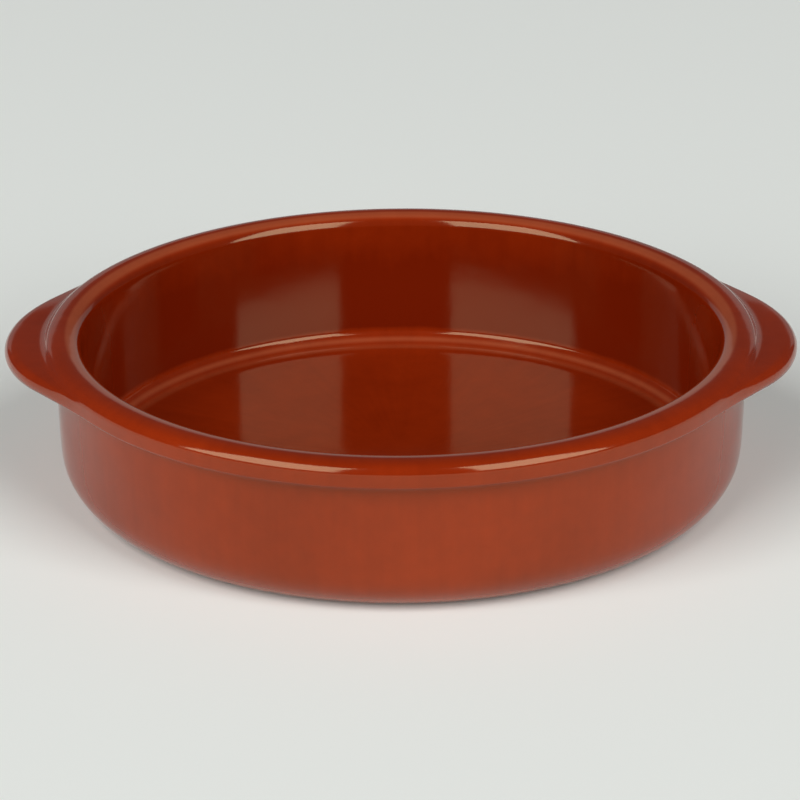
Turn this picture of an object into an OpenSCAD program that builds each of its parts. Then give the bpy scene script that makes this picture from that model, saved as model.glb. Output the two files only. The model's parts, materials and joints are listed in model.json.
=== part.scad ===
// Round earthenware cazuela: a low dish with a flat floor, a nearly upright wall,
// a thickened collar under a rounded rim, and two broad lugs opposite each other.
// One piece of glazed red clay. Millimetres, +Z up, origin in the middle of the base.

/* [Dish] */
// Diameter over the collar, which is the widest part of the round body
rim_d = 280; // [200:1:360]
// Height from the base to the top of the rim
dish_h = 63; // [50:0.5:80]
// How far the wall stands in from the collar, where it bulges most
wall_step = 4.4; // [3.5:0.1:6]
// Radius of the slight bulge of the wall, seen in section
wall_bulge_r = 350; // [200:5:900]
// Rounding of the bottom edge
base_edge_r = 17; // [6:0.5:20]

/* [Rim] */
// Height of the collar and rim together, down from the top
collar_h = 8; // [7.5:0.1:10]
// Width of the rim from its inner to its outer face
rim_w = 14.4; // [13:0.1:16]
// Rounding of the rim's outer shoulder
rim_outer_r = 5.1; // [4:0.1:5.6]
// Radius of the gentle slope from the crest down to the inner shoulder
rim_slope_r = 15; // [12:0.5:20]
// Rounding of the rim's inner shoulder
rim_inner_r = 5; // [3:0.1:6]
// Rounding of the collar's lower edge
collar_edge_r = 1.1; // [0.6:0.1:1.3]
// Radius of the hollow that leads from the wall to the collar
collar_cove_r = 2.3; // [1.5:0.1:2.6]

/* [Inside] */
// Thickness of the floor
floor_t = 5; // [4:0.1:8]
// How much smaller in radius the inside is at the floor than at the rim
inside_taper = 1.5; // [0:0.1:3]
// Radius of the curve between the floor and the wall
inside_cove_r = 9; // [6:0.5:20]

/* [Lugs] */
// How far each lug stands out past the collar
lug_reach = 16.2; // [12:0.2:22]
// Radius of the lug's end, seen from above
lug_tip_r = 72; // [60:1:82]
// Thickness of a lug
lug_t = 8.7; // [7.5:0.1:10]
// Drop from the top of the rim to the top of a lug
lug_drop = 4; // [3.5:0.1:6]
// Radius of the valley between the rim and a lug
lug_valley_r = 4.5; // [3:0.1:6]
// Radius of the hollow between a lug and the wall under it
lug_root_r = 4; // [2:0.1:5]

/* [Hidden] */

$fn = 96;
clay = "#9a3f22";

rim_r = rim_d / 2;
wall_r = rim_r - wall_step;
mouth_r = rim_r - rim_w;
collar_z = dish_h - collar_h;

// Wall: centre of its bulge, seen in section
bulge_x = wall_r - wall_bulge_r;
bulge_z = (base_edge_r + collar_z - collar_cove_r) / 2;
// Bottom edge: centre of its rounding, which meets the wall without a crease
base_x = bulge_x + sqrt(pow(wall_bulge_r - base_edge_r, 2) - pow(bulge_z - base_edge_r, 2));
base_meet_z = bulge_z - wall_bulge_r * (bulge_z - base_edge_r) / (wall_bulge_r - base_edge_r);
// Hollow under the collar: its centre, and the height where it leaves the wall
cove_z = collar_z - collar_cove_r;
cove_x = bulge_x + sqrt(pow(wall_bulge_r + collar_cove_r, 2) - pow(cove_z - bulge_z, 2));
cove_meet_z = bulge_z + wall_bulge_r * (cove_z - bulge_z) / (wall_bulge_r + collar_cove_r);

// Rim: centres of its outer shoulder, of the slope inside the crest and of the inner shoulder
shoulder = [rim_r - rim_outer_r, dish_h - rim_outer_r];
slope = [shoulder.x, dish_h - rim_slope_r];
// The slope and the inner shoulder meet without a crease, at this angle up from the level
slope_end = acos((shoulder.x - mouth_r - rim_inner_r) / (rim_slope_r - rim_inner_r));
slope_meet = slope + rim_slope_r * [-cos(slope_end), sin(slope_end)];
inner_shoulder = slope + (rim_slope_r - rim_inner_r) * [-cos(slope_end), sin(slope_end)];

// Inside: lean of the wall, centre of the curve to the floor, and where the two meet
inside_lean = atan(inside_taper / (inner_shoulder.y - floor_t));
curve_z = floor_t + inside_cove_r;
curve_x = mouth_r - (inner_shoulder.y - curve_z) * tan(inside_lean)
    - inside_cove_r / cos(inside_lean);
curve_meet = [curve_x + inside_cove_r * cos(inside_lean), curve_z - inside_cove_r * sin(inside_lean)];

// Lugs, seen from above: a round end, and two straight flanks that touch a circle
// lying just inside the collar, so that they sink into it at a slant
lug_sink = 2;
flank_r = rim_r - lug_sink;
lug_end = rim_r + lug_reach;
tip_x = lug_end - lug_tip_r;
lug_half_angle = acos((flank_r - lug_tip_r) / tip_x);
// Angle from the dish's axis to a point on the lug's end, given its angle from the end's centre
function seen_from_axis(turn) = atan2(lug_tip_r * sin(turn), tip_x + lug_tip_r * cos(turn));
tip_half_angle = seen_from_axis(lug_half_angle);

// Lugs, seen in section
lug_top = dish_h - lug_drop;
lug_edge_r = lug_t / 2;
valley_bite = 0.4;
valley_z = lug_top + lug_valley_r;
valley_x = shoulder.x
    + sqrt(pow(rim_outer_r + lug_valley_r - valley_bite, 2) - pow(valley_z - shoulder.y, 2));
valley_from = 180 + atan2(valley_z - shoulder.y, valley_x - shoulder.x);
root_bite = 1;
root_x = wall_r - root_bite + lug_root_r;
root_z = lug_top - lug_t - lug_root_r;
anchor_r = (mouth_r + wall_r) / 2;

// Points along an arc of n steps
function arc(centre, r, from, to, n) =
    [for (i = [0:n]) let (a = from + (to - from) * i / n) centre + r * [cos(a), sin(a)]];

// Points along a straight stretch of n steps
function stretch(from, to, n) = [for (i = [0:n]) from + (to - from) * i / n];

// Section of a lug at its full reach, from the rim over the top and round to the wall
valley_steps = 4;
edge_steps = 8;
root_steps = 2;
lug_full = concat(
    [[anchor_r, lug_top]],
    arc([valley_x, valley_z], lug_valley_r, valley_from, 270, valley_steps),
    arc([lug_end - lug_edge_r, lug_top - lug_edge_r], lug_edge_r, 90, -90, edge_steps),
    arc([root_x, root_z], lug_root_r, 90, 180, root_steps),
    [[anchor_r, root_z]]
);

// The same points where a lug has sunk into the collar, with clay to cover them
collar_cover = 1;
wall_cover = 2;
sunk_z = collar_z + collar_cover;
lug_sunk = concat(
    [[anchor_r, lug_top]],
    arc(shoulder, rim_outer_r - lug_sink, 55, 5, valley_steps),
    stretch([flank_r, shoulder.y], [flank_r, sunk_z], edge_steps),
    stretch([flank_r - collar_cover, sunk_z], [wall_r - wall_cover, cove_z], root_steps),
    [[anchor_r, cove_z]]
);

// Distance of a lug's outline from the axis at an angle from the lug's middle
function lug_outline(a) =
    abs(a) < tip_half_angle
        ? tip_x * cos(a) + sqrt(pow(lug_tip_r, 2) - pow(tip_x * sin(a), 2))
        : flank_r / cos(lug_half_angle - abs(a));

// Section of a lug at an angle: the sunk section drawn out towards the full one
function lug_section(a) =
    let (share = (lug_outline(a) - flank_r) / (lug_end - flank_r))
    [for (i = [0:len(lug_full) - 1])
        let (p = lug_sunk[i] + (lug_full[i] - lug_sunk[i]) * share)
        [p.x * cos(a), p.x * sin(a), p.y]];

// Angles of a lug's sections: along one flank, round the end, and along the other flank
flank_steps = 4;
tip_steps = 12;
flank_turn = (lug_half_angle - tip_half_angle) / flank_steps;
lug_angles = concat(
    [for (i = [0:flank_steps - 1]) -lug_half_angle + i * flank_turn],
    [for (i = [0:tip_steps]) seen_from_axis(lug_half_angle * (2 * i / tip_steps - 1))],
    [for (i = [1:flank_steps]) tip_half_angle + i * flank_turn]
);

module wall_section() {
    square([base_x, collar_z]);
    translate([base_x, base_edge_r])
        circle(base_edge_r);
    intersection() {
        translate([bulge_x, bulge_z])
            circle(wall_bulge_r);
        translate([base_x / 2, base_meet_z])
            square([rim_r, collar_z - base_meet_z]);
    }
    difference() {
        translate([base_x, cove_meet_z])
            square([cove_x - base_x, collar_z - cove_meet_z]);
        translate([cove_x, cove_z])
            circle(collar_cove_r);
    }
}

module rim_section() {
    // Collar, with its lower edge
    translate([inner_shoulder.x, collar_z])
        square([rim_r - collar_edge_r - inner_shoulder.x, collar_edge_r * 2]);
    translate([rim_r - collar_edge_r, collar_z + collar_edge_r])
        circle(collar_edge_r);
    translate([inner_shoulder.x, collar_z + collar_edge_r])
        square([rim_r - inner_shoulder.x, shoulder.y - collar_z - collar_edge_r]);
    translate(shoulder)
        circle(rim_outer_r);
    // Slope inside the crest, and the inner shoulder down to the wall
    intersection() {
        translate(slope)
            circle(rim_slope_r);
        translate([slope_meet.x, inner_shoulder.y])
            square([shoulder.x - slope_meet.x, rim_slope_r]);
    }
    translate(inner_shoulder)
        circle(rim_inner_r);
    translate([mouth_r, cove_z])
        square([inner_shoulder.x - mouth_r, inner_shoulder.y - cove_z]);
}

module hollow_section() {
    polygon([
        [0, floor_t],
        [curve_x, floor_t],
        curve_meet,
        [mouth_r, inner_shoulder.y],
        [mouth_r, dish_h + 1],
        [0, dish_h + 1]
    ]);
    intersection() {
        translate([curve_x, curve_z])
            circle(inside_cove_r);
        translate([curve_x, floor_t])
            square([inside_cove_r, curve_meet.y - floor_t]);
    }
}

module bowl() {
    rotate_extrude()
        difference() {
            union() {
                wall_section();
                rim_section();
            }
            hollow_section();
        }
}

module lug() {
    sections = [for (a = lug_angles) lug_section(a)];
    last = len(sections) - 1;
    n = len(lug_full);
    polyhedron(
        points = [for (s = sections) each s],
        faces = concat(
            [[for (k = [0:n - 1]) k]],
            [for (i = [0:last - 1], k = [0:n - 1]) let (k2 = (k + 1) % n, a = i * n, b = a + n)
                each [[a + k, b + k, a + k2], [a + k2, b + k, b + k2]]],
            [[for (k = [n - 1:-1:0]) last * n + k]]
        )
    );
}

module cazuela() {
    color(clay) {
        bowl();
        for (side = [0, 180])
            rotate(side)
                lug();
    }
}

cazuela();
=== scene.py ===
"""A round glazed earthenware cazuela with two lugs, dressed for a plain studio shot.

The dish is lofted as a quarter: sections are drawn from the lug's middle to its end, bridged,
spun on to a right angle, mirrored twice and subdivided. Everything is in metres, +Z up, with
the middle of the base at the origin.
"""
import json
import logging
from collections.abc import Mapping, Sequence
from dataclasses import dataclass, field
from enum import Enum
from math import acos, asin, atan, atan2, cos, degrees, hypot, pi, radians, sin, sqrt, tan
from typing import Any, NamedTuple

import bpy
from mathutils import Matrix, Vector

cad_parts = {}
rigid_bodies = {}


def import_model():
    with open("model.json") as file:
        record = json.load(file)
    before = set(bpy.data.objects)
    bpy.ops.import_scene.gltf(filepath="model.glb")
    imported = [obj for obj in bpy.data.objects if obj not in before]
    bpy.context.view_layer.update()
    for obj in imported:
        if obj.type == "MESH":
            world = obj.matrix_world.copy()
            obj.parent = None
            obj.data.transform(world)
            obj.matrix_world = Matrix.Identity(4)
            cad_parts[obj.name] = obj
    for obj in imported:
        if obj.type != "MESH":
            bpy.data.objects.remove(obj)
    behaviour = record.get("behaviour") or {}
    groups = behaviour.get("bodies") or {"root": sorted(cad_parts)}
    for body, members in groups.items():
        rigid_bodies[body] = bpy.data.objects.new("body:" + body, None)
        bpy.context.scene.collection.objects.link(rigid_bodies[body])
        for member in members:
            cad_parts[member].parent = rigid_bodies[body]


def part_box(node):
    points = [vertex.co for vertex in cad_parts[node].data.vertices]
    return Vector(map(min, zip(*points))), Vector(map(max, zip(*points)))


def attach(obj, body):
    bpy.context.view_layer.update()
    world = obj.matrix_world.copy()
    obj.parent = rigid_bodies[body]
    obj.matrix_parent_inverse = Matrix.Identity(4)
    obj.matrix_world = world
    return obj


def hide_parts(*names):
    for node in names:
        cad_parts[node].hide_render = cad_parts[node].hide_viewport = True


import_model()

log = logging.getLogger("cazuela")

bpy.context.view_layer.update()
CAD_NODE = "cazuela"
BODY = "root"


class Point(NamedTuple):
    """A point of a section: its distance from the dish's axis and its height."""

    r: float
    z: float


class Station(NamedTuple):
    """A point of the section twice: on the plain dish, and where a lug is at its full reach."""

    plain: Point
    full: Point

    def at(self, share: float) -> Point:
        """Return the point for a lug at a share of its full reach.

        Args:
            share: The lug's share of its reach, from 0 to 1.

        Returns:
            The point between the plain and the full one.
        """
        return Point(
            self.plain.r + (self.full.r - self.plain.r) * share,
            self.plain.z + (self.full.z - self.plain.z) * share,
        )


def around(centre: Point, radius: float, turn: float) -> Point:
    """Return the point at a radius and an angle in degrees about a centre."""
    angle = radians(turn)
    return Point(centre.r + radius * cos(angle), centre.z + radius * sin(angle))


def arc(centre: Point, radius: float, start: float, end: float, steps: int) -> list[Point]:
    """List the points along an arc of a section.

    Args:
        centre: Centre of the arc.
        radius: Radius of the arc.
        start: Angle of the first point in degrees, from outwards towards up.
        end: Angle of the last point in degrees.
        steps: Number of equal steps between the two.

    Returns:
        The steps + 1 points in order.
    """
    return [around(centre, radius, start + (end - start) * i / steps) for i in range(steps + 1)]


def stretch(start: Point, end: Point, steps: int) -> list[Point]:
    """List the points along a straight stretch of a section.

    Args:
        start: First point.
        end: Last point.
        steps: Number of equal steps between the two.

    Returns:
        The steps + 1 points in order.
    """
    shares = [i / steps for i in range(steps + 1)]
    return [Point(start.r + (end.r - start.r) * s, start.z + (end.z - start.z) * s) for s in shares]


def joined(*runs: Sequence[Point]) -> list[Point]:
    """Join runs of points whose ends meet.

    Args:
        *runs: The runs in order, each of which starts where the one before it ends.

    Returns:
        All their points in order, with each shared end once.
    """
    points = list(runs[0])
    for run in runs[1:]:
        points.extend(run[1:])
    return points


class Edit:
    """Edit mode on one mesh object, with everything deselected on the way in."""

    def __init__(self, thing: bpy.types.Object) -> None:
        """Keep the object that is edited."""
        self.thing = thing

    def __enter__(self) -> None:
        """Enter edit mode with nothing selected."""
        pick(self.thing)
        bpy.ops.object.mode_set(mode="EDIT")
        bpy.ops.mesh.select_all(action="DESELECT")

    def __exit__(self, *_: object) -> None:
        """Go back to object mode."""
        bpy.ops.object.mode_set(mode="OBJECT")


def pick(thing: bpy.types.Object) -> None:
    """Select one object alone and make it the active one.

    Args:
        thing: The object.
    """
    bpy.ops.object.select_all(action="DESELECT")
    thing.select_set(True)
    bpy.context.view_layer.objects.active = thing


def finish_with(thing: bpy.types.Object, kind: str, settings: Mapping[str, Any]) -> None:
    """Add a modifier, set it up and apply it.

    Args:
        thing: The mesh object.
        kind: The modifier's type, which is also its name.
        settings: The modifier's properties and their values.
    """
    pick(thing)
    modifier = thing.modifiers.new(kind, kind)
    for name, value in settings.items():
        setattr(modifier, name, value)
    bpy.ops.object.modifier_apply(modifier=kind)


@dataclass(frozen=True)
class Steps:
    """How many equal steps each stretch of the dish's section is drawn in."""

    base: int = 7
    base_edge: int = 7
    low_wall: int = 3
    high_wall: int = 4
    cove: int = 5
    underside: int = 4
    collar_edge: int = 4
    collar_face: int = 5
    shoulder: int = 5
    valley: int = 5
    bead: int = 4
    crest: int = 4
    slope: int = 4
    inner_edge: int = 6
    inner_wall: int = 5
    corner: int = 6
    facet: int = 2
    floor: int = 12


@dataclass
class Dish:
    """The cazuela's one glazed piece: bowl, collared rim and both lugs.

    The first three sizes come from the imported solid's box. The others follow the solid's own,
    but for a taller collar, a broader crest, an inner wall that tapers less and a slanted
    facet in the inner corner, all read from reflections. Angles are in degrees.
    """

    rim_r: float
    height: float
    lug_end: float
    wall_step: float = 0.0044
    wall_bulge_r: float = 0.350
    base_edge_r: float = 0.017
    collar_h: float = 0.0096
    rim_w: float = 0.0144
    rim_outer_r: float = 0.0043
    crest_r: float = 0.0103
    crest_turn: float = 70.0
    rim_slope_r: float = 0.015
    rim_inner_r: float = 0.005
    collar_edge_r: float = 0.0011
    collar_cove_r: float = 0.003
    floor_t: float = 0.005
    inside_taper: float = 0.0005
    corner_upper_r: float = 0.0026
    corner_facet: float = 0.0036
    corner_lower_r: float = 0.005
    facet_turn: float = 45.0
    lug_tip_r: float = 0.0718
    lug_t: float = 0.0087
    lug_drop: float = 0.004
    lug_valley_r: float = 0.0045
    lug_root_r: float = 0.004
    root_start: float = 0.5
    top_share: float = 0.45
    flank_r: float = 0.1392
    flank_blend: float = 0.0006
    flank_fade: float = 0.2
    column_turn: float = 2.0
    lug_columns: int = 20
    merge_gap: float = 0.000002
    steps: Steps = Steps()
    stations: list[Station] = field(init=False)

    def __post_init__(self) -> None:
        """Work out the section's stations."""
        self.stations = self.section()

    def wall_between(self, low: float, high: float, steps: int) -> list[Point]:
        """List points up the outer wall's bulge between two heights.

        Args:
            low: Height of the first point.
            high: Height of the last point.
            steps: Number of equal steps in height between the two.

        Returns:
            The steps + 1 points in order.
        """
        heights = [low + (high - low) * i / steps for i in range(steps + 1)]
        bulge, bulge_r = self.bulge, self.wall_bulge_r
        return [Point(bulge.r + sqrt(bulge_r**2 - (z - bulge.z) ** 2), z) for z in heights]

    @property
    def collar_z(self) -> float:
        """Return the height of the collar's underside."""
        return self.height - self.collar_h

    @property
    def bulge(self) -> Point:
        """Return the centre of the wall's bulge."""
        middle = (self.base_edge_r + self.collar_z - self.collar_cove_r) / 2
        return Point(self.rim_r - self.wall_step - self.wall_bulge_r, middle)

    def section(self) -> list[Station]:
        """List the stations of the whole section, from under the axis round to the floor's middle.

        Returns:
            The stations in order. The outer ones differ between the plain dish and a lug.
        """
        lower = self.underside_and_wall()
        upper = self.rim_and_inside()
        outer_plain = self.collar_side()
        outer_full = self.lug_side()
        shared = [Station(p, p) for p in lower]
        changing = [Station(p, q) for p, q in zip(outer_plain, outer_full, strict=True)]
        rest = [Station(p, p) for p in upper]
        return shared + changing + rest

    def underside_and_wall(self) -> list[Point]:
        """List the points from under the axis to halfway up the outer wall.

        Returns:
            The points in order, without the last one, with which the outer points start.
        """
        edge_r, bulge, bulge_r = self.base_edge_r, self.bulge, self.wall_bulge_r
        edge_x = bulge.r + sqrt((bulge_r - edge_r) ** 2 - (bulge.z - edge_r) ** 2)
        edge_end = degrees(asin((edge_r - bulge.z) / (bulge_r - edge_r)))
        edge = arc(Point(edge_x, edge_r), edge_r, -90, edge_end, self.steps.base_edge)
        base = stretch(Point(0, 0), edge[0], self.steps.base)
        wall = self.wall_between(edge[-1].z, self.half_wall, self.steps.low_wall)
        return joined(base, edge, wall)[:-1]

    @property
    def half_wall(self) -> float:
        """Return the height from which a lug's root may draw the wall's points down."""
        return self.height * self.root_start

    def collar_side(self) -> list[Point]:
        """List the plain dish's outer points, from halfway up the wall to the bead's side.

        Returns:
            The points in order.
        """
        cove_z = self.collar_z - self.collar_cove_r
        bulge = self.bulge
        reach = self.wall_bulge_r + self.collar_cove_r
        cove = Point(bulge.r + sqrt(reach**2 - (cove_z - bulge.z) ** 2), cove_z)
        lean = degrees(asin((cove_z - bulge.z) / reach))
        hollow = arc(cove, self.collar_cove_r, 180 + lean, 90, self.steps.cove)
        wall = self.wall_between(self.half_wall, hollow[0].z, self.steps.high_wall)
        edge_centre = Point(self.rim_r - self.collar_edge_r, self.collar_z + self.collar_edge_r)
        edge = arc(edge_centre, self.collar_edge_r, -90, 0, self.steps.collar_edge)
        shoulder = self.shoulder
        under = stretch(hollow[-1], edge[0], self.steps.underside)
        face = stretch(edge[-1], Point(self.rim_r, shoulder.z), self.steps.collar_face)
        top_end = self.valley_turn * self.top_share
        top = arc(shoulder, self.rim_outer_r, 0, top_end, self.steps.shoulder)
        valley = arc(shoulder, self.rim_outer_r, top_end, self.valley_turn, self.steps.valley)
        return joined(wall, hollow, under, edge, face, top, valley)

    def lug_side(self) -> list[Point]:
        """List the same points where a lug is at its full reach.

        Returns:
            The points in order, as many as on the plain dish.
        """
        top_z = self.height - self.lug_drop
        root_z = top_z - self.lug_t - self.lug_root_r
        wall = self.wall_between(self.half_wall, root_z, self.steps.high_wall)
        root_centre = Point(wall[-1].r + self.lug_root_r, root_z)
        root = arc(root_centre, self.lug_root_r, 180, 90, self.steps.cove)
        nose_r = self.lug_t / 2
        nose_centre = Point(self.lug_end - nose_r, top_z - nose_r)
        nose = arc(nose_centre, nose_r, -90, 90, self.steps.collar_edge + self.steps.collar_face)
        under = stretch(root[-1], nose[0], self.steps.underside)
        valley_end = 180 + self.valley_turn
        valley = arc(self.valley, self.lug_valley_r, 270, valley_end, self.steps.valley)
        top = stretch(nose[-1], valley[0], self.steps.shoulder)
        return joined(wall, root, under, nose, top, valley)

    @property
    def shoulder(self) -> Point:
        """Find the bead's outer rounding, which the crest's carries on without a crease.

        Returns:
            The centre of the rounding.
        """
        turn = radians(self.crest_turn)
        drop = self.crest_r - (self.crest_r - self.rim_outer_r) * sin(turn)
        return Point(self.rim_r - self.rim_outer_r, self.height - drop)

    @property
    def crest(self) -> Point:
        """Return the centre of the broad crest's rounding."""
        inset = (self.crest_r - self.rim_outer_r) * cos(radians(self.crest_turn))
        return Point(self.shoulder.r - inset, self.height - self.crest_r)

    @property
    def valley(self) -> Point:
        """Find the valley between the bead and a lug, which touches both.

        Returns:
            The centre of the valley's rounding.
        """
        z = self.height - self.lug_drop + self.lug_valley_r
        shoulder = self.shoulder
        reach = self.rim_outer_r + self.lug_valley_r
        return Point(shoulder.r + sqrt(reach**2 - (z - shoulder.z) ** 2), z)

    @property
    def valley_turn(self) -> float:
        """Return the angle on the bead's rounding at which the valley meets it."""
        return degrees(atan2(self.valley.z - self.shoulder.z, self.valley.r - self.shoulder.r))

    def rim_and_inside(self) -> list[Point]:
        """List the points from the bead's side over the crest and inside to the floor's middle.

        Returns:
            The points in order, without the first one, with which the outer points end.
        """
        mouth_r = self.rim_r - self.rim_w
        steps, crest_turn = self.steps, self.crest_turn
        bead = arc(self.shoulder, self.rim_outer_r, self.valley_turn, crest_turn, steps.bead)
        crest = arc(self.crest, self.crest_r, crest_turn, 90, steps.crest)
        slope_centre = Point(self.crest.r, self.height - self.rim_slope_r)
        less = self.rim_slope_r - self.rim_inner_r
        turn = 180 - degrees(acos((self.crest.r - mouth_r - self.rim_inner_r) / less))
        slope = arc(slope_centre, self.rim_slope_r, 90, turn, steps.slope)
        inner = around(slope_centre, less, turn)
        inner_edge = arc(inner, self.rim_inner_r, turn, 180, steps.inner_edge)
        corner = self.corner(mouth_r, inner.z)
        wall = stretch(inner_edge[-1], corner[0], steps.inner_wall)
        floor = stretch(corner[-1], Point(0, self.floor_t), steps.floor)
        return joined(bead, crest, slope, inner_edge, wall, corner, floor)[1:]

    def corner(self, mouth_r: float, wall_top: float) -> list[Point]:
        """List the points of the inner corner, off the wall, down a slanted facet, to the floor.

        Args:
            mouth_r: Radius of the inside at the top of the wall.
            wall_top: Height of the top of the wall.

        Returns:
            The points in order, from the wall to the floor.
        """
        slant, steps = radians(self.facet_turn), self.steps.corner
        lower_centre = Point(0, self.corner_lower_r)
        lower = arc(lower_centre, self.corner_lower_r, -self.facet_turn, -90, steps)
        facet_start = Point(
            lower[0].r + self.corner_facet * sin(slant),
            lower[0].z + self.corner_facet * cos(slant),
        )
        upper_centre = around(facet_start, self.corner_upper_r, 180 - self.facet_turn)
        lean = atan(self.inside_taper / (wall_top - self.floor_t))
        upper = arc(upper_centre, self.corner_upper_r, -degrees(lean), -self.facet_turn, steps)
        rise = wall_top - self.floor_t - upper[0].z
        shift = mouth_r - rise * tan(lean) - upper[0].r
        facet = stretch(upper[-1], lower[0], self.steps.facet)
        return [Point(p.r + shift, p.z + self.floor_t) for p in joined(upper, facet, lower)]

    def share_at(self, turn: float) -> float:
        """Return how much of its full reach a lug has at an angle from its middle.

        Args:
            turn: The angle about the dish's axis, in degrees.

        Returns:
            The share, from 1 at the middle to 0 on the plain dish.
        """
        tip_x = self.lug_end - self.lug_tip_r
        half = degrees(acos((self.flank_r - self.lug_tip_r) / tip_x))
        tip = around(Point(tip_x, 0), self.lug_tip_r, half)
        tip_end = degrees(atan2(tip.z, tip.r))
        if turn >= half:
            return 0.0
        if turn < tip_end:
            across = tip_x * sin(radians(turn))
            outline = tip_x * cos(radians(turn)) + sqrt(self.lug_tip_r**2 - across**2)
        else:
            outline = self.flank_r / cos(radians(half - turn))
        past = outline - self.rim_r
        eased = (past + hypot(past, self.flank_blend)) / 2
        fade = min(1.0, (half - turn) / (self.flank_fade * half))
        return eased * fade * fade * (3 - 2 * fade) / (self.lug_end - self.rim_r)

    def draw_section(self, column: int) -> None:
        """Draw one column's section as a chain of extruded points, in edit mode.

        Args:
            column: The column's number, counted from the lug's middle.
        """
        turn = column * self.column_turn
        across, along = cos(radians(turn)), sin(radians(turn))
        share = self.share_at(turn)
        points = [station.at(share) for station in self.stations]
        spots = [Vector((p.r * across, p.r * along, p.z)) for p in points]
        bpy.ops.mesh.select_all(action="DESELECT")
        bpy.ops.mesh.primitive_plane_add(size=self.rim_w, location=spots[0])
        bpy.ops.mesh.merge(type="CENTER")
        for here, there in zip(spots, spots[1:]):
            bpy.ops.mesh.extrude_vertices_move(TRANSFORM_OT_translate={"value": there - here})
        bpy.ops.mesh.select_linked()
        bpy.ops.object.vertex_group_assign_new()
        bpy.context.object.vertex_groups.active.name = f"column_{column}"

    @staticmethod
    def select_sections(*columns: int) -> None:
        """Select the sections of some columns and nothing else, in edit mode.

        Args:
            *columns: The columns' numbers.
        """
        bpy.ops.mesh.select_all(action="DESELECT")
        groups = bpy.context.object.vertex_groups
        for column in columns:
            groups.active = groups[f"column_{column}"]
            bpy.ops.object.vertex_group_select()

    def build(self) -> bpy.types.Object:
        """Model the whole dish.

        Returns:
            The finished mesh object, at the origin.
        """
        bpy.context.tool_settings.mesh_select_mode = (True, False, False)
        bpy.ops.object.select_all(action="DESELECT")
        bpy.ops.mesh.primitive_plane_add(size=self.rim_w)
        dish = bpy.context.object
        dish.name = dish.data.name = "glazed_cazuela"
        with Edit(dish):
            bpy.ops.mesh.select_all(action="SELECT")
            bpy.ops.mesh.delete(type="VERT")
            for column in range(self.lug_columns + 1):
                self.draw_section(column)
            for column in range(self.lug_columns):
                self.select_sections(column, column + 1)
                bpy.ops.mesh.bridge_edge_loops()
            self.select_sections(self.lug_columns)
            left = 90 - self.lug_columns * self.column_turn
            # Spin turns clockwise about its axis, so an axis that points down turns the section on
            bpy.ops.mesh.spin(
                steps=round(left / self.column_turn),
                angle=radians(left),
                center=(0, 0, 0),
                axis=(0, 0, -1),
            )
            bpy.ops.object.vertex_group_remove(all=True)
        mirror = {
            "use_axis": (True, True, False),
            "use_mirror_merge": True,
            "merge_threshold": self.merge_gap,
        }
        finish_with(dish, "MIRROR", mirror)
        with Edit(dish):
            bpy.ops.mesh.select_all(action="SELECT")
            bpy.ops.mesh.remove_doubles(threshold=self.merge_gap)
            bpy.ops.mesh.normals_make_consistent(inside=False)
        finish_with(dish, "SUBSURF", {"levels": 1, "render_levels": 1})
        pick(dish)
        bpy.ops.object.shade_smooth()
        return dish


class Signal:
    """A number, colour or shader inside a node tree. Numbers take part in Python expressions."""

    def __init__(self, tree: "Shader", socket: bpy.types.NodeSocket) -> None:
        """Keep the tree and the output socket that carries the value."""
        self.tree = tree
        self.socket = socket

    def __add__(self, other: "Number") -> "Signal":
        """Return self + other."""
        return self.tree.maths("ADD", self, other)

    def __radd__(self, other: "Number") -> "Signal":
        """Return other + self."""
        return self.tree.maths("ADD", other, self)

    def __sub__(self, other: "Number") -> "Signal":
        """Return self - other."""
        return self.tree.maths("SUBTRACT", self, other)

    def __rsub__(self, other: "Number") -> "Signal":
        """Return other - self."""
        return self.tree.maths("SUBTRACT", other, self)

    def __mul__(self, other: "Number") -> "Signal":
        """Return self * other."""
        return self.tree.maths("MULTIPLY", self, other)

    def __rmul__(self, other: "Number") -> "Signal":
        """Return other * self."""
        return self.tree.maths("MULTIPLY", other, self)

    def root(self) -> "Signal":
        """Return the square root."""
        return self.tree.maths("SQRT", self)

    def clamped(self) -> "Signal":
        """Return the number held between 0 and 1."""
        return self.tree.add("ShaderNodeClamp", inputs={"Value": self})

    def past(self, span: "Span") -> "Signal":
        """Return whether the number is past a span, with a smooth rise over it.

        Args:
            span: Where the rise starts and ends.

        Returns:
            0 before the span and 1 after it.
        """
        settings = {"interpolation_type": "SMOOTHSTEP"}
        ends = {"From Min": span[0], "From Max": span[1], "To Min": 0.0, "To Max": 1.0}
        return self.tree.add("ShaderNodeMapRange", settings, {"Value": self, **ends})

    def within(self, start: "Span", end: "Span") -> "Signal":
        """Return 1 between two spans, and 0 before the first and after the second."""
        return self.past(start) * (1 - self.past(end))


Number = Signal | float
Span = tuple[float, float]
Colour = tuple[float, float, float]

# A span past every point of the dish, for a band without an end
BEYOND: Span = (1.0, 2.0)

# Numbers of a Mix node's sockets for its share and its colours, whose names aren't unique
MIX_SHARE, MIX_ONE, MIX_TWO, MIX_COLOUR = 0, 6, 7, 2


@dataclass(frozen=True)
class Blotches:
    """Soft noise of a finish.

    Its fields are the blotches in a metre, the octaves, how strong the finer octaves are, and
    how much the noise counts.
    """

    scale: float
    detail: float = 2.0
    roughness: float = 0.5
    weight: float = 1.0


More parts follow.
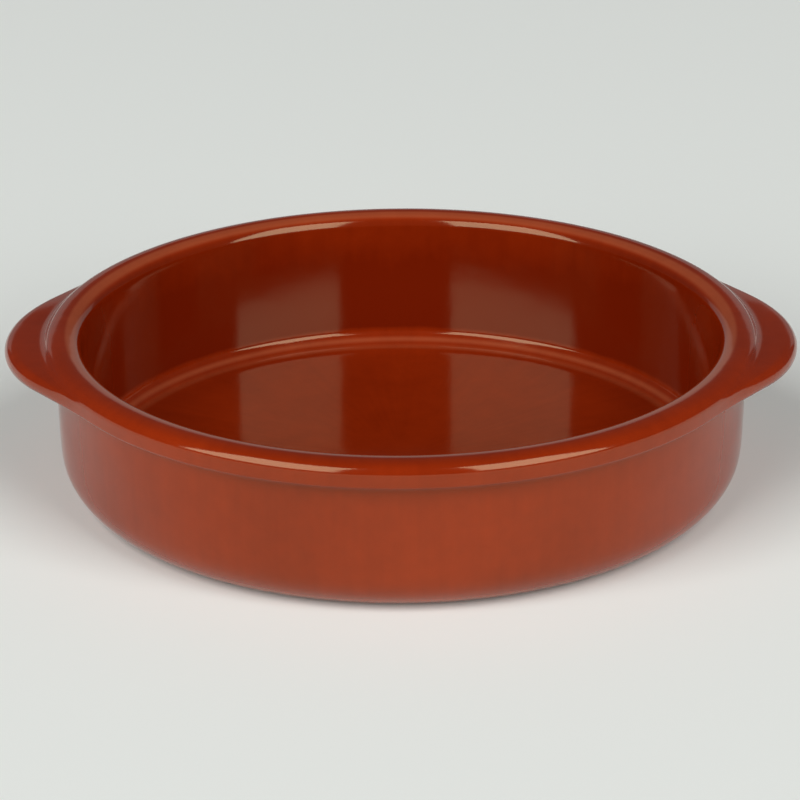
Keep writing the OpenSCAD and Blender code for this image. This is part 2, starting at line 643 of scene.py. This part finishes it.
class Shader:
    """The node tree of a material or of the world, written as expressions."""

    def __init__(self, owner: bpy.types.Material | bpy.types.World) -> None:
        """Take over a node tree and empty it.

        Args:
            owner: The material or the world that the tree belongs to.
        """
        owner.use_nodes = True
        self.owner = owner
        self.nodes = owner.node_tree.nodes
        self.links = owner.node_tree.links
        self.nodes.clear()

    def node(
        self,
        kind: str,
        settings: Mapping[str, Any] | None = None,
        inputs: Mapping[str | int, Any] | None = None,
    ) -> bpy.types.Node:
        """Add one node.

        Args:
            kind: The node's type.
            settings: Properties that are set before the sockets are filled.
            inputs: Values or signals for input sockets, by name or number.

        Returns:
            The new node.
        """
        node = self.nodes.new(kind)
        for name, value in (settings or {}).items():
            setattr(node, name, value)
        for key, value in (inputs or {}).items():
            self.fill(node.inputs[key], value)
        return node

    def add(
        self,
        kind: str,
        settings: Mapping[str, Any] | None = None,
        inputs: Mapping[str | int, Any] | None = None,
        output: str | int = 0,
    ) -> Signal:
        """Add one node and return the signal of one of its outputs.

        Args:
            kind: The node's type.
            settings: Properties that are set before the sockets are filled.
            inputs: Values or signals for input sockets, by name or number.
            output: The output socket, by name or number.

        Returns:
            The signal of the chosen output.
        """
        return Signal(self, self.node(kind, settings, inputs).outputs[output])

    def fill(self, socket: bpy.types.NodeSocket, value: Any) -> None:
        """Give an input socket a value, or link a signal to it.

        Args:
            socket: The input socket.
            value: A number, a colour or a signal.
        """
        if isinstance(value, Signal):
            self.links.new(value.socket, socket)
        elif socket.type == "RGBA":
            socket.default_value = (*value, 1.0)
        else:
            socket.default_value = value

    def maths(self, operation: str, *values: Number) -> Signal:
        """Return the outcome of a Math node on the given values."""
        return self.add("ShaderNodeMath", {"operation": operation}, dict(enumerate(values)))

    def highest(self, one: Number, two: Number) -> Signal:
        """Return the higher of two numbers."""
        return self.maths("MAXIMUM", one, two)

    def place(self) -> Signal:
        """Return the position on the piece, in metres."""
        return self.add("ShaderNodeTexCoord", output="Object")

    def parts(self, vector: Signal) -> tuple[Signal, Signal, Signal]:
        """Return a vector's three parts."""
        x, y, z = self.node("ShaderNodeSeparateXYZ", inputs={"Vector": vector}).outputs
        return Signal(self, x), Signal(self, y), Signal(self, z)

    def vector(self, x: Number, y: Number, z: Number) -> Signal:
        """Return a vector put together from three parts."""
        return self.add("ShaderNodeCombineXYZ", inputs={"X": x, "Y": y, "Z": z})

    def noise(self, where: Signal, look: Blotches) -> Signal:
        """Add soft noise, without its weight.

        Args:
            where: The position at which it is read.
            look: Its blotches.

        Returns:
            The noise, mostly from 0.25 to 0.75.
        """
        values = {
            "Vector": where,
            "Scale": look.scale,
            "Detail": look.detail,
            "Roughness": look.roughness,
        }
        return self.add("ShaderNodeTexNoise", {"noise_dimensions": "3D"}, values, output="Fac")

    def blend(self, share: Number, one: Colour | Signal, two: Colour | Signal) -> Signal:
        """Blend two colours.

        Args:
            share: The share of the second one, from 0 to 1.
            one: The first colour.
            two: The second colour.

        Returns:
            The colour between them.
        """
        settings = {"data_type": "RGBA", "blend_type": "MIX"}
        values = {MIX_SHARE: share, MIX_ONE: one, MIX_TWO: two}
        return self.add("ShaderNodeMix", settings, values, MIX_COLOUR)

    def finish(self, surface: Signal) -> None:
        """Link the surface to the tree's output."""
        kind = "World" if isinstance(self.owner, bpy.types.World) else "Material"
        self.node(f"ShaderNodeOutput{kind}", inputs={"Surface": surface})


@dataclass(frozen=True)
class Line:
    """A band round the dish, by its radius and its height, and how strongly it shows."""

    inner: Span
    outer: Span
    low: Span
    high: Span
    strength: float

    def share(self, radius: Signal, z: Signal) -> Signal:
        """Return the band's strength on it and 0 off it."""
        return radius.within(self.inner, self.outer) * z.within(self.low, self.high) * self.strength


@dataclass(frozen=True)
class GlazedClay:
    """Clear glossy glaze over red-brown clay, bare and matt where the dish stands, with painted
    highlight lines and painted shade on the inner wall.
    """

    deep: Colour = (0.155, 0.0095, 0.0006)
    light: Colour = (0.315, 0.0255, 0.0022)
    # Painted highlight: a pale colour laid as lines where highlights and lit bands show
    painted_highlight: Colour = (0.40, 0.095, 0.036)
    bare: Colour = (0.42, 0.135, 0.055)
    glaze_roughness: float = 0.1
    bare_roughness: float = 0.85
    refraction: float = 1.58
    sheen_tint: Colour = (1.0, 0.85, 0.52)
    # Bands of painted highlight: the rim's inner shoulder, the inner corner's lit facet and the lit
    # edge of the foot
    rim_line: Line = Line((0.1268, 0.1285), (0.1308, 0.1325), (0.052, 0.056), BEYOND, 0.5)
    corner_line: Line = Line(
        (0.110, 0.113), (0.1235, 0.1245), (0.0058, 0.0072), (0.0072, 0.0086), 0.45
    )
    foot_line: Line = Line((0.116, 0.119), BEYOND, (0.0022, 0.0034), (0.0046, 0.0062), 0.35)
    line_steady: float = 0.75
    line_mottle: float = 0.4
    # Painted shade: the inner wall is darkened, with half as much towards the rim
    inner_wall: Line = Line((0.1205, 0.1225), (0.1262, 0.1275), (0.0105, 0.013), BEYOND, 0.6)
    wall_fade: Span = (0.036, 0.058)
    wall_faded: float = 0.5
    cloud: Blotches = Blotches(14.0, 3.0, weight=0.8)
    mottle: Blotches = Blotches(120.0, 4.0, 0.6, 0.35)
    streak: Blotches = Blotches(3.0, 3.0, weight=0.25)
    streaks_round: float = 9.0
    streaks_along: float = 5.0
    middle: float = 0.5
    bare_raggedness: float = 0.0008
    bare_edge: Span = (0.0003, 0.0011)
    swell: Blotches = Blotches(28.0, weight=0.6)
    orange_peel: Blotches = Blotches(260.0, weight=0.02)
    grain: Blotches = Blotches(1800.0, weight=0.01)
    bump_strength: float = 0.4
    bump_distance: float = 0.001

    def painted_highlight_lines(self, shader: Shader, radius: Signal, z: Signal) -> Signal:
        """Find where highlights are painted as pale lines: on the rim, the inner corner and the
        foot.

        Args:
            shader: The material's tree.
            radius: The distance from the dish's axis.
            z: The height.

        Returns:
            How strongly the painted highlight's colour shows.
        """
        rim = self.rim_line.share(radius, z)
        corner = self.corner_line.share(radius, z)
        foot = self.foot_line.share(radius, z)
        return shader.highest(shader.highest(rim, corner), foot)

    def painted_wall_shade(self, radius: Signal, z: Signal) -> Signal:
        """Return the painted shade on the inner wall, darkest low in the bowl and less so towards
        the rim.
        """
        return self.inner_wall.share(radius, z) * (1 - z.past(self.wall_fade) * self.wall_faded)

    def swing(self, shader: Shader, where: Signal, look: Blotches) -> Signal:
        """Return a noise's weighted swing about its middle."""
        return (shader.noise(where, look) - self.middle) * look.weight

    def glaze(self, shader: Shader, place: Signal, mottle: Signal) -> Signal:
        """Return the colour of the glazed clay, with its painted highlights and painted shade.

        Args:
            shader: The material's tree.
            place: The position on the dish.
            mottle: The fine mottle that all of the dish shares.

        Returns:
            The colour.
        """
        x, y, z = shader.parts(place)
        radius = (x * x + y * y).root()
        turned = shader.maths("ARCTAN2", y, x) * self.streaks_round
        along = shader.vector(turned, z * self.streaks_along, radius * self.streaks_along)
        mottled = (mottle - self.middle) * self.mottle.weight
        clouded = self.swing(shader, place, self.cloud) + self.swing(shader, along, self.streak)
        # The painted wall shade darkens the glaze's tone
        tone = clouded + mottled + self.middle - self.painted_wall_shade(radius, z)
        # Painted highlight lines laid over the glaze's own tone
        painted_highlight = self.painted_highlight_lines(shader, radius, z) * (self.line_steady + mottle * self.line_mottle)
        return shader.blend(painted_highlight, shader.blend(tone.clamped(), self.deep, self.light), self.painted_highlight)

    def relief(self, shader: Shader, place: Signal, covered: Signal) -> Signal:
        """Return the surface's fine relief.

        Args:
            shader: The material's tree.
            place: The position on the dish.
            covered: 1 under glaze and 0 on bare clay, which alone is grainy.

        Returns:
            The normal.
        """
        swell = shader.noise(place, self.swell) * self.swell.weight
        orange_peel = shader.noise(place, self.orange_peel) * self.orange_peel.weight
        grain = shader.noise(place, self.grain) * (1 - covered) * self.grain.weight
        values = {
            "Strength": self.bump_strength,
            "Distance": self.bump_distance,
            "Height": swell + orange_peel + grain,
        }
        return shader.add("ShaderNodeBump", inputs=values)

    def make(self) -> bpy.types.Material:
        """Return the finished material."""
        material = bpy.data.materials.new("glazed_red_clay")
        shader = Shader(material)
        place = shader.place()
        mottle = shader.noise(place, self.mottle)
        height = shader.parts(place)[2]
        covered = ((mottle - self.middle) * self.bare_raggedness + height).past(self.bare_edge)
        less_rough = self.glaze_roughness - self.bare_roughness
        values = {
            "Base Color": shader.blend(covered, self.bare, self.glaze(shader, place, mottle)),
            "Roughness": covered * less_rough + self.bare_roughness,
            "IOR": self.refraction,
            "Specular Tint": self.sheen_tint,
            "Normal": self.relief(shader, place, covered),
        }
        shader.finish(shader.add("ShaderNodeBsdfPrincipled", inputs=values))
        return material


@dataclass(frozen=True)
class PaleTable:
    """A plain pale matt table top."""

    near: Colour = (0.88, 0.91, 0.875)
    darker: float = 0.99
    blotches: Blotches = Blotches(3.0)
    roughness: float = 0.9
    sheen: float = 0.2

    def make(self) -> bpy.types.Material:
        """Return the finished material."""
        material = bpy.data.materials.new("pale_table")
        shader = Shader(material)
        mottle = shader.noise(shader.place(), self.blotches)
        far = tuple(self.darker * part for part in self.near)
        values = {
            "Base Color": shader.blend(mottle, self.near, far),
            "Roughness": self.roughness,
            "Specular IOR Level": self.sheen,
        }
        shader.finish(shader.add("ShaderNodeBsdfPrincipled", inputs=values))
        return material


class Quarter(Enum):
    """Where a lamp stands, by its angle in degrees from the camera's side of the dish."""

    LEFT = -44.5
    RIGHT = 44.5
    BACK = 180.0


@dataclass
class Softbox:
    """A large soft lamp that stands upright and faces the dish.

    Its extent is given as the dish sees it: the heights of its lower and upper edge above the
    level and its spread from side to side, all in degrees.
    """

    quarter: Quarter
    low: float
    high: float
    spread: float
    radiance: float
    distance: float = 6.0

    def build(self) -> bpy.types.Object:
        """Set up the lamp.

        Returns:
            The lamp's object.
        """
        name = f"softbox_{self.quarter.name.lower()}"
        bottom, top = (self.distance * tan(radians(edge)) for edge in (self.low, self.high))
        light = bpy.data.lights.new(name, "AREA")
        light.shape = "RECTANGLE"
        light.size = 2 * self.distance * tan(radians(self.spread / 2))
        light.size_y = top - bottom
        # The power at which a flat lamp of this size has the wanted radiance
        light.energy = self.radiance * pi * light.size * light.size_y
        lamp = bpy.data.objects.new(name, light)
        bpy.context.collection.objects.link(lamp)
        turn = radians(self.quarter.value)
        away = Vector((sin(turn), -cos(turn), 0))
        lamp.location = away * self.distance + Vector((0, 0, (bottom + top) / 2))
        lamp.rotation_euler = away.to_track_quat("Z", "Y").to_euler()
        lamp.visible_camera = False
        return lamp


@dataclass
class Studio:
    """The table, the lamps, the surroundings and the camera."""

    table_size: float = 12.0
    camera_distance: float = 1.259
    camera_rise: float = 23.977
    camera_pan: float = -0.023
    camera_tilt: float = 1.241
    camera_roll: float = -0.359
    focal_px: float = 3133.4
    image_px: float = 800.0
    sensor_mm: float = 36.0
    near_clip: float = 0.01
    backdrop: Colour = (0.705, 0.72, 0.69)
    fill: float = 0.06
    fill_colour: Colour = (1.0, 1.0, 1.0)
    lamps: tuple[Softbox, ...] = (
        Softbox(Quarter.LEFT, 12.0, 60.0, 50.0, 4.2),
        Softbox(Quarter.RIGHT, 12.0, 60.0, 42.0, 4.2),
        Softbox(Quarter.BACK, 2.0, 20.0, 70.0, 0.25, 2.0),
    )

    def build_table(self) -> bpy.types.Object:
        """Lay the table under the dish.

        Returns:
            The table's object.
        """
        bpy.ops.object.select_all(action="DESELECT")
        bpy.ops.mesh.primitive_plane_add(size=self.table_size)
        table = bpy.context.object
        table.name = table.data.name = "table"
        table.data.materials.append(PaleTable().make())
        return table

    def build_world(self) -> bpy.types.World:
        """Set up the surroundings: pale to the camera, a dim fill to the rest.

        Returns:
            The scene's world.
        """
        world = bpy.data.worlds.new("studio")
        bpy.context.scene.world = world
        shader = Shader(world)
        by_camera = shader.add("ShaderNodeLightPath", output="Is Camera Ray")
        pale = shader.add("ShaderNodeBackground", inputs={"Color": self.backdrop})
        faint = {"Color": self.fill_colour, "Strength": self.fill}
        dim = shader.add("ShaderNodeBackground", inputs=faint)
        shader.finish(shader.add("ShaderNodeMixShader", inputs={0: by_camera, 1: dim, 2: pale}))
        return world

    def build_camera(self) -> bpy.types.Object:
        """Place the camera at the photograph's viewing angle.

        Returns:
            The camera's object.
        """
        camera = bpy.data.cameras.new("camera")
        camera.sensor_width = self.sensor_mm
        camera.lens = self.focal_px * self.sensor_mm / self.image_px
        camera.clip_start = self.near_clip
        thing = bpy.data.objects.new("camera", camera)
        bpy.context.collection.objects.link(thing)
        rise = radians(self.camera_rise)
        spot = Vector((0, -cos(rise), sin(rise))) * self.camera_distance
        pan = Matrix.Rotation(radians(-self.camera_pan), 4, "Z")
        tilt = Matrix.Rotation(radians(90 - self.camera_rise + self.camera_tilt), 4, "X")
        roll = Matrix.Rotation(radians(self.camera_roll), 4, "Z")
        thing.matrix_world = Matrix.Translation(spot) @ pan @ tilt @ roll
        bpy.context.scene.camera = thing
        return thing


def main() -> None:
    """Build the studio and the dish, and log the lamps and the dish's faces."""
    logging.basicConfig(level=logging.INFO, format="%(name)s: %(message)s")
    bpy.context.scene.view_settings.view_transform = "Standard"
    studio = Studio()
    table = studio.build_table()
    for lamp in studio.lamps:
        log.info("lamp %s", lamp.build().name)
    studio.build_world()
    studio.build_camera()

    _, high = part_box(CAD_NODE)
    shape = Dish(rim_r=high[1], height=high[2], lug_end=high[0])
    dish = shape.build()
    dish.data.materials.clear()
    dish.data.materials.append(GlazedClay().make())
    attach(dish, BODY)
    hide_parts(CAD_NODE)
    log.info("dish %s: %d faces", dish.name, len(dish.data.polygons))


if __name__ == "__main__":
    main()
